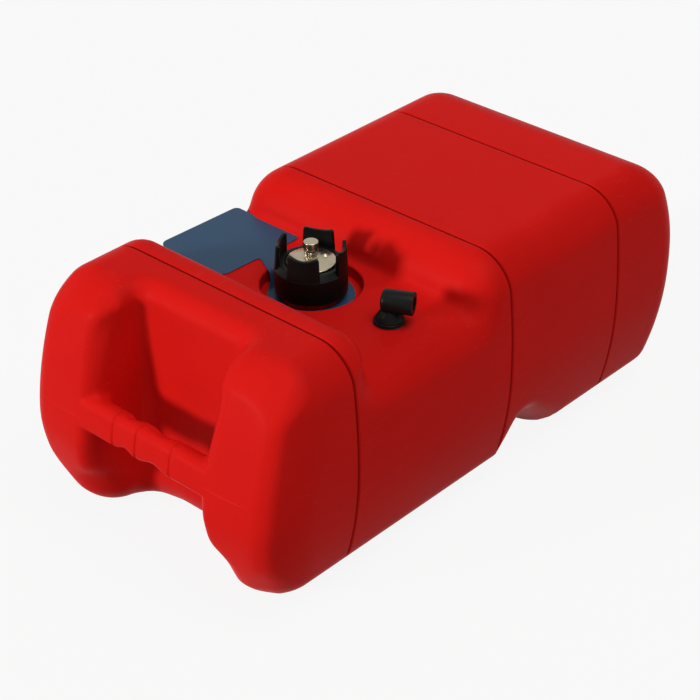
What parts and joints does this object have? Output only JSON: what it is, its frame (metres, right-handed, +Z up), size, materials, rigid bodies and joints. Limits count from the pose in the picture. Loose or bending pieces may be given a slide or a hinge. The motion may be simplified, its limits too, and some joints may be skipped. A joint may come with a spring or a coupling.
{
  "type": "portable outboard fuel tank",
  "caption": "Red moulded portable fuel tank for an outboard motor, with a grip in its hand recess, a pronged filler cap with a vent screw, a swivel pickup elbow and a blue tag.",
  "frame": {"origin": "middle of the footprint, at the height of the base", "axes": "+Z up; +X from the end with the grip to the far end; +Y away from the side with the pickup elbow"},
  "size_m": [0.5447, 0.2908, 0.2267],
  "materials": {
    "red_polyethylene": "satin, fine mould grain",
    "black_nylon": "satin",
    "black_rubber": "matt",
    "bright_steel": "bright",
    "clear_grey_tube": "satin",
    "blue_card": "satin film"
  },
  "bodies": {
    "tank": {"tank_shell": "red_polyethylene", "pickup_bush": "black_nylon", "pickup_gasket": "black_rubber"},
    "gasket": {"cap_gasket": "black_rubber"},
    "cap": {"filler_cap": "black_nylon", "vent_dome": "bright_steel", "vent_bush": "bright_steel"},
    "seal": {"vent_seal": "black_rubber"},
    "knob": {"vent_knob": "bright_steel", "vent_clip": "bright_steel"},
    "elbow": {"pickup_elbow": "black_nylon", "elbow_oring": "black_rubber", "elbow_retainer": "bright_steel", "dip_tube": "clear_grey_tube", "tube_clamp": "bright_steel", "pickup_strainer": "black_nylon"},
    "tag": {"neck_tag": "blue_card"}
  },
  "joints": [
    {"name": "cap_lift", "type": "slide", "parent": "tank", "child": "gasket", "axis": [0, 0, 1], "range_m": [0, 0.008]},
    {"name": "cap_turn", "type": "hinge", "parent": "gasket", "child": "cap", "pos_m": [-0.0683, 0, 0.2], "axis": [0, 0, 1], "range_deg": [0, 720]},
    {"name": "vent_lift", "type": "slide", "parent": "cap", "child": "seal", "axis": [0, 0, 1], "range_m": [0, 0.0015]},
    {"name": "vent_turn", "type": "hinge", "parent": "seal", "child": "knob", "pos_m": [-0.0683, 0, 0.22], "axis": [0, 0, 1], "range_deg": [0, 540]},
    {"name": "elbow_swivel", "type": "hinge", "parent": "tank", "child": "elbow", "pos_m": [-0.071, -0.0894, 0.19], "axis": [0, 0, 1], "continuous": true},
    {"name": "tag_turn", "type": "hinge", "parent": "tank", "child": "tag", "pos_m": [-0.0683, 0, 0.18], "axis": [0, 0, 1], "range_deg": [0, 4]}
  ],
  "couplings": [
    {"joint": "cap_lift", "follows": "cap_turn", "m_per_rad": 0.000636},
    {"joint": "vent_lift", "follows": "vent_turn", "m_per_rad": 0.000159}
  ]
}
